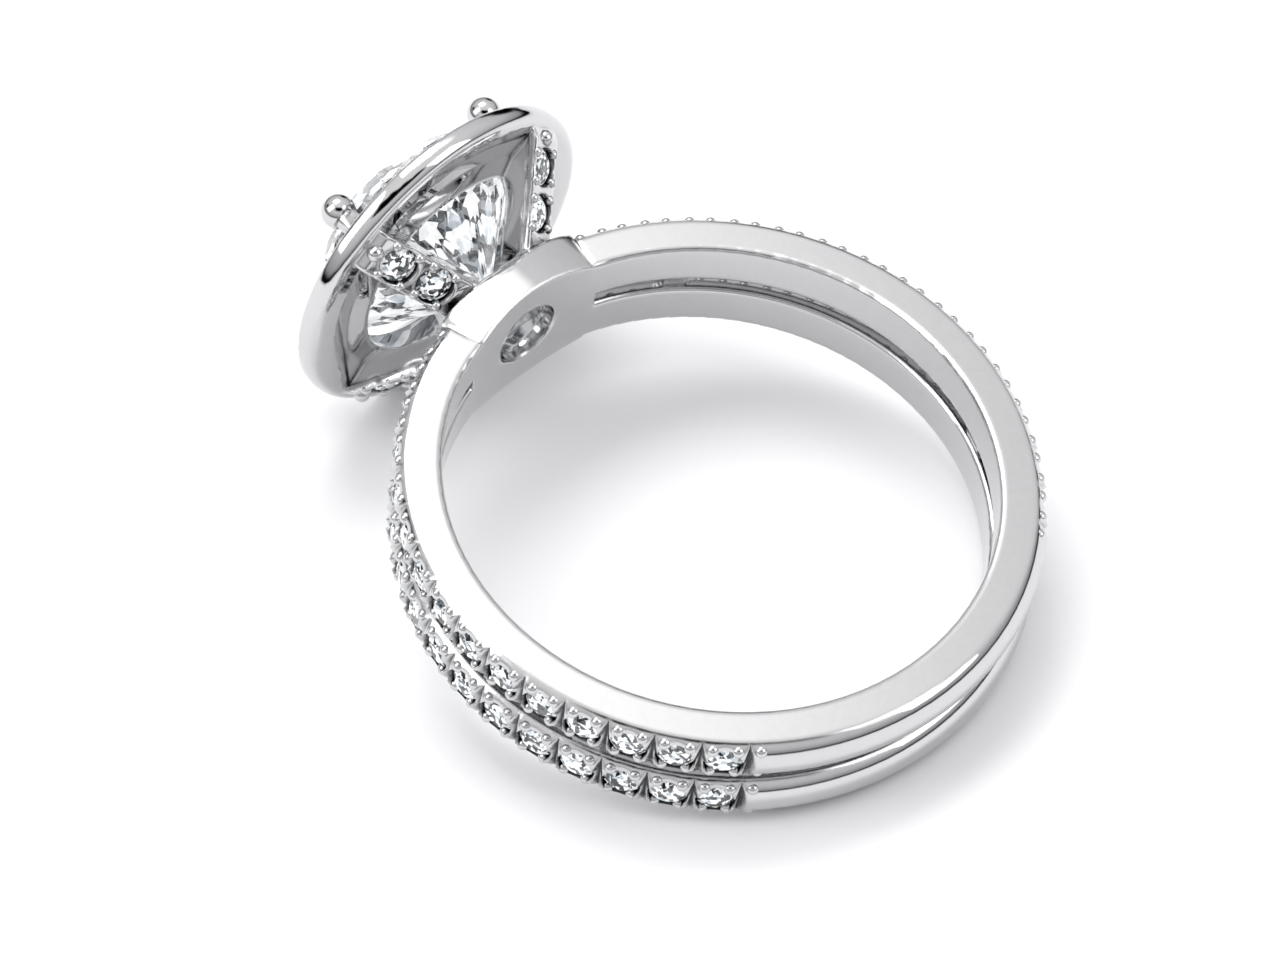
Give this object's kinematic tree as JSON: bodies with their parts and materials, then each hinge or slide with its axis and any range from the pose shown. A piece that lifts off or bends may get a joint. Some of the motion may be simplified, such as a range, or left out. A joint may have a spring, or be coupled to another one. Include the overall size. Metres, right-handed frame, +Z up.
{
  "type": "split shank ring",
  "caption": "Split shank finger ring with two pave bands, a round halo head on a pierced gallery and a round brilliant centre stone, lying on its side.",
  "frame": {"origin": "centre of the bounding box, on the floor plane that the ring lies on", "axes": "+Z up from the floor, +X from the back of the shank to the head along the floor, +Y across; the finger's axis leans about 10 degrees from +Z towards -X because the halo's rim props the head up"},
  "size_m": [0.0252, 0.02, 0.0112],
  "materials": {
    "white_gold": "high polish, rhodium plated",
    "diamond": "faceted and polished",
    "small_diamonds": "faceted and polished"
  },
  "bodies": {
    "root": {"ring_mount": "white_gold", "center_stone": "diamond", "halo_stones": "small_diamonds", "upper_band_stones": "small_diamonds", "lower_band_stones": "small_diamonds", "gallery_stone_1": "small_diamonds", "gallery_stone_2": "small_diamonds", "gallery_stone_3": "small_diamonds", "gallery_stone_4": "small_diamonds", "gallery_stone_5": "small_diamonds", "gallery_stone_6": "small_diamonds", "gallery_stone_7": "small_diamonds", "gallery_stone_8": "small_diamonds"}
  },
  "joints": []
}
